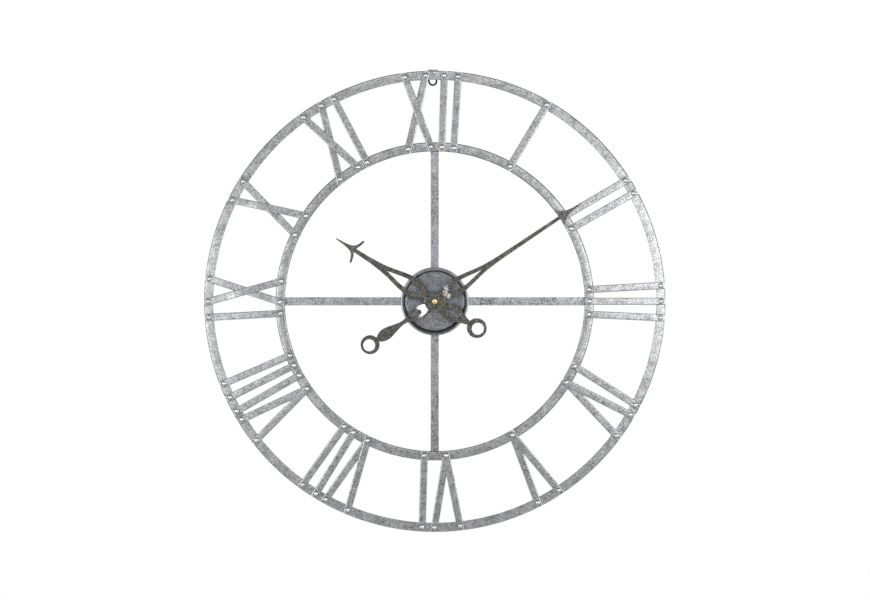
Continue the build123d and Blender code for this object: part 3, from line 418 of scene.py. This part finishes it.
# ------------------------------------------------------------------ smooth shading
soften = bpy.data.node_groups.new("soft_faces", "GeometryNodeTree")
soften.interface.new_socket("Geometry", in_out="INPUT", socket_type="NodeSocketGeometry")
soften.interface.new_socket("Geometry", in_out="OUTPUT", socket_type="NodeSocketGeometry")
whole = add(soften, "NodeGroupInput").outputs[0]
merged = add(soften, "GeometryNodeMergeByDistance", Geometry=whole, Distance=0.002 * MM)
angle = add(soften, "GeometryNodeInputMeshEdgeAngle").outputs["Unsigned Angle"]
gentle = add(
    soften, "FunctionNodeCompare", {"operation": "LESS_THAN"}, _0=angle, _1=radians(SMOOTH_ANGLE)
)
smooth = add(
    soften, "GeometryNodeSetShadeSmooth", Geometry=merged.outputs[0], Shade_Smooth=True
)
sharp = add(
    soften,
    "GeometryNodeSetShadeSmooth",
    {"domain": "EDGE"},
    Geometry=smooth.outputs[0],
    Shade_Smooth=gentle.outputs[0],
)
add(soften, "NodeGroupOutput", _0=sharp.outputs[0])


# ------------------------------------------------------------------ the turned sheet pieces
def rounded(*corners):
    """The points of an outline in radius and height whose corners (radius, height, round) have
    that rounding."""
    points = []
    for index, (radius, height, rounding) in enumerate(corners):
        here = Vector((radius, height))
        if not rounding:
            points.append(here)
            continue
        back = (Vector(corners[index - 1][:2]) - here).normalized()
        ahead = (Vector(corners[(index + 1) % len(corners)][:2]) - here).normalized()
        half = back.angle(ahead) / 2
        middle = here + (back + ahead).normalized() * rounding / sin(half)
        first = here + back * rounding / tan(half) - middle
        last = here + ahead * rounding / tan(half) - middle
        sweep = first.angle_signed(last)
        for step in range(ARC_STEPS + 1):
            swung = first.copy()
            swung.rotate(Matrix.Rotation(-sweep * step / ARC_STEPS, 2))
            points.append(middle + swung)
    return points


def finished(name, shape, finish, body):
    """An object made of a finished bmesh, softly shaded, that moves with a body of the part."""
    mesh = bpy.data.meshes.new(name)
    shape.to_mesh(mesh)
    shape.free()
    mesh.materials.append(finish)
    piece = bpy.data.objects.new(name, mesh)
    bpy.context.scene.collection.objects.link(piece)
    piece.modifiers.new("soft_faces", "NODES").node_group = soften
    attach(piece, body)
    return piece


def turned(name, finish, slot, body, outline, closed=True):
    """A sheet piece spun about the arbor from its outline, given in radius and height."""
    shape = bmesh.new()
    points = [shape.verts.new((radius * MM, -height * MM, 0)) for radius, height in outline]
    following = points[1:] + points[:1] if closed else points[1:]
    edges = [shape.edges.new(pair) for pair in zip(points, following)]
    bmesh.ops.spin(
        shape,
        geom=points + edges,
        cent=(0, 0, 0),
        axis=(0, 1, 0),
        angle=2 * pi,
        steps=SPIN_STEPS,
        use_merge=True,
    )
    bmesh.ops.remove_doubles(shape, verts=shape.verts, dist=0.0005 * MM)
    bmesh.ops.recalc_face_normals(shape, faces=shape.faces)
    return finished(name, shape, finish, body)


def notched(piece, low, high):
    """Cuts the box between two corners out of a finished piece."""
    shape = bmesh.new()
    bmesh.ops.create_cube(shape, size=1)
    low, high = Vector(low), Vector(high)
    bmesh.ops.scale(shape, verts=shape.verts, vec=high - low)
    bmesh.ops.translate(shape, verts=shape.verts, vec=(low + high) / 2)
    mesh = bpy.data.meshes.new("notch")
    shape.to_mesh(mesh)
    shape.free()
    cutter = bpy.data.objects.new("notch", mesh)
    bpy.context.scene.collection.objects.link(cutter)
    cut = piece.modifiers.new("notch", "BOOLEAN")
    cut.operation = "DIFFERENCE"
    cut.object = cutter
    ready = piece.evaluated_get(bpy.context.evaluated_depsgraph_get())
    piece.data = bpy.data.meshes.new_from_object(ready)
    piece.modifiers.remove(cut)
    bpy.data.objects.remove(cutter)


slots = {entry["node"]: entry["material_slot"] for entry in frame["record"]["subparts"]}
for name, piece in nodes.items():
    piece.data.materials.clear()
    piece.data.materials.append(special.get(name, finishes[slots[name]]))
    piece.modifiers.new("soft_faces", "NODES").node_group = soften

# The rolled rim, turned back to the wall.
rim_inside = rim_radius - RING_SHEET
rim = turned(
    "rolled_rim",
    finishes["galvanised_steel"],
    "galvanised_steel",
    "frame",
    rounded(
        (rim_radius - RIM_FLANGE, RING_FRONT, 0),
        (rim_radius, RING_FRONT, RIM_BEND),
        (rim_radius, 0, 0),
        (rim_inside, 0, 0),
        (rim_inside, RING_FRONT - RING_SHEET, RIM_BEND - RING_SHEET),
        (rim_radius - RIM_FLANGE, RING_FRONT - RING_SHEET, 0),
    ),
)
notch_low, notch_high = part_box("hanger_plate")
notched(
    rim,
    (notch_low.x - NOTCH_GAP * MM, -(HANGER_FRONT + NOTCH_GAP) * MM, (rim_radius - RIM_FLANGE) * MM),
    (notch_high.x + NOTCH_GAP * MM, MM, (rim_radius + RIM_FLANGE) * MM),
)
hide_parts("outer_rim")

# The inner ring, a shallow channel with both edges turned back.
channel_hole = channel_radius - CHANNEL_WIDTH
channel_back = RING_FRONT - CHANNEL_DEPTH
channel = turned(
    "channel_ring",
    finishes["galvanised_steel"],
    "galvanised_steel",
    "frame",
    rounded(
        (channel_hole, channel_back, 0),
        (channel_hole, RING_FRONT, CHANNEL_BEND),
        (channel_radius, RING_FRONT, CHANNEL_BEND),
        (channel_radius, channel_back, 0),
        (channel_radius - RING_SHEET, channel_back, 0),
        (channel_radius - RING_SHEET, RING_FRONT - RING_SHEET, CHANNEL_BEND - RING_SHEET),
        (channel_hole + RING_SHEET, RING_FRONT - RING_SHEET, CHANNEL_BEND - RING_SHEET),
        (channel_hole + RING_SHEET, channel_back, 0),
    ),
)
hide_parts("inner_ring")

# The pressed hub pan: a flat floor, a cove, a wall and a lip with a curled edge.
lip_front = PAN_BACK + PAN_DEPTH
pan = turned(
    "pressed_pan",
    special["hub_pan"],
    "galvanised_steel",
    "frame",
    rounded(
        (PAN_HOLE, PAN_BACK, 0),
        (pan_wall, PAN_BACK, PAN_COVE),
        (pan_wall, lip_front - PAN_SHEET, 0),
        (pan_radius - PAN_SHEET, lip_front - PAN_SHEET, 0),
        (pan_radius - PAN_SHEET, lip_front - PAN_SHEET - LIP_CURL, 0),
        (pan_radius, lip_front - PAN_SHEET - LIP_CURL, 0),
        (pan_radius, lip_front, LIP_CURL),
        (pan_wall - PAN_SHEET, lip_front, PAN_SHEET),
        (pan_wall - PAN_SHEET, PAN_BACK + PAN_SHEET, PAN_COVE - PAN_SHEET),
        (PAN_HOLE, PAN_BACK + PAN_SHEET, 0),
    ),
)
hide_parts("hub_pan")

# The domed hand nut, closed over the end of the arbor, and the boss set in the minute hand.
nut_low, nut_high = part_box("hand_nut")
nut_radius = nut_high.x / MM
nut_front, nut_back = -nut_low.y / MM, -nut_high.y / MM
dome = [
    (nut_radius * cos(turn), nut_front + NUT_DOME * (sin(turn) - 1))
    for turn in [pi / 2 * step / 12 for step in range(12)]
]
nut = turned(
    "domed_nut",
    finishes["brass"],
    "brass",
    "minute_hand",
    [(0, nut_back), (nut_radius, nut_back)] + dome + [(0, nut_front)],
    closed=False,
)
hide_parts("hand_nut")
hand_front = -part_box("minute_hand")[0].y / MM
turned(
    "hand_boss",
    finishes["dark_pewter"],
    "dark_pewter",
    "minute_hand",
    rounded(
        (nut_radius / 2, hand_front, 0),
        (BOSS_RADIUS, hand_front, 0),
        (BOSS_RADIUS, hand_front + BOSS_RISE, BOSS_RISE * 0.9),
        (nut_radius / 2, hand_front + BOSS_RISE, 0),
    ),
)

# The hands' cut edges are broken by the press, and the spokes' are rubbed round.
cut_edges = {name: CUT_EDGE for name in ("minute_hand", "hour_hand")}
cut_edges.update({name: SPOKE_EDGE for name in special if name.startswith("spoke")})
for name, width in cut_edges.items():
    bevel = nodes[name].modifiers.new("cut_edge", "BEVEL")
    bevel.width = width * MM
    bevel.segments = 2
    bevel.limit_method = "ANGLE"
    bevel.angle_limit = radians(BEVEL_ANGLE)

# ------------------------------------------------------------------ floor, camera and light
FLOOR_Z = -760
FLOOR_HALF = 3000
FLOOR_FORWARD = 2000
FLOOR_GLOW = 0.6
WORLD_LIGHT = 0.5
SENSOR_WIDTH = 36
CAMERA_DISTANCE = 4500
VIEW_WIDTH = 1508.0
LOOK_AT = (0.4, 2.3)

# Seen straight or in a reflection, the floor is as pale as the world round it, and its shadows stay.
white, tree, shader, _ = material("white_studio_floor", Roughness=0.9)
shader.inputs["Base Color"].default_value = linear("e6e6e6")
pale = background_rays(tree, FLOOR_GLOW)
glow = add(tree, "ShaderNodeEmission", Color=linear("ffffff"), Strength=pale)
both = add(tree, "ShaderNodeAddShader", _0=shader.outputs[0], _1=glow.outputs[0])
tree.links.new(both.outputs[0], tree.nodes["Material Output"].inputs["Surface"])

shape = bmesh.new()
bmesh.ops.create_grid(shape, x_segments=1, y_segments=1, size=FLOOR_HALF * MM)
bmesh.ops.translate(shape, verts=shape.verts, vec=(0, -FLOOR_FORWARD * MM, FLOOR_Z * MM))
floor_mesh = bpy.data.meshes.new("studio_floor")
shape.to_mesh(floor_mesh)
shape.free()
floor = bpy.data.objects.new("studio_floor", floor_mesh)
floor.data.materials.append(white)
bpy.context.scene.collection.objects.link(floor)

world = bpy.data.worlds.new("studio")
bpy.context.scene.world = world
world.use_nodes = True
sky = world.node_tree
sky.nodes.clear()
lit = add(sky, "ShaderNodeBackground", Color=linear("ffffff"), Strength=WORLD_LIGHT)
bright = add(sky, "ShaderNodeBackground", Color=linear("ffffff"), Strength=1.0)
seen = background_rays(sky, 1.0)
both = add(sky, "ShaderNodeMixShader", _0=seen, _1=lit.outputs[0], _2=bright.outputs[0])
add(sky, "ShaderNodeOutputWorld", Surface=both.outputs[0])


def softbox(name, place, size, watts):
    """A softbox that faces the dial's centre, its place, width and height in millimetres."""
    lamp = bpy.data.lights.new(name, "AREA")
    lamp.shape = "RECTANGLE"
    lamp.size, lamp.size_y = size[0] * MM, size[1] * MM
    lamp.energy = watts
    holder = bpy.data.objects.new(name, lamp)
    holder.location = Vector(place) * MM
    holder.visible_camera = False
    holder.rotation_euler = (-holder.location).to_track_quat("-Z", "Y").to_euler()
    bpy.context.scene.collection.objects.link(holder)


# Two softboxes light the dial from ahead, one from above, and two strips catch its rounded edges.
softbox("softbox_right", (650, -1070, 110), (420, 520), 7.4)
softbox("softbox_left", (-730, -1100, -30), (480, 580), 6.2)
softbox("softbox_top", (60, -1400, 900), (1200, 400), 7.4)
for side, across in (("right", 1500), ("left", -1500)):
    softbox(f"strip_{side}", (across, -750, 60), (500, 900), 12)

# The camera looks straight at the wall and takes in VIEW_WIDTH of the plane of the dial's face.
lens = bpy.data.cameras.new("camera")
lens.sensor_width = SENSOR_WIDTH
lens.lens = SENSOR_WIDTH * (CAMERA_DISTANCE - RING_FRONT) / VIEW_WIDTH
camera = bpy.data.objects.new("camera", lens)
camera.location = Vector((LOOK_AT[0], -CAMERA_DISTANCE, LOOK_AT[1])) * MM
camera.rotation_euler = (pi / 2, 0, 0)
bpy.context.scene.collection.objects.link(camera)
bpy.context.scene.camera = camera
bpy.context.scene.view_settings.view_transform = "Standard"
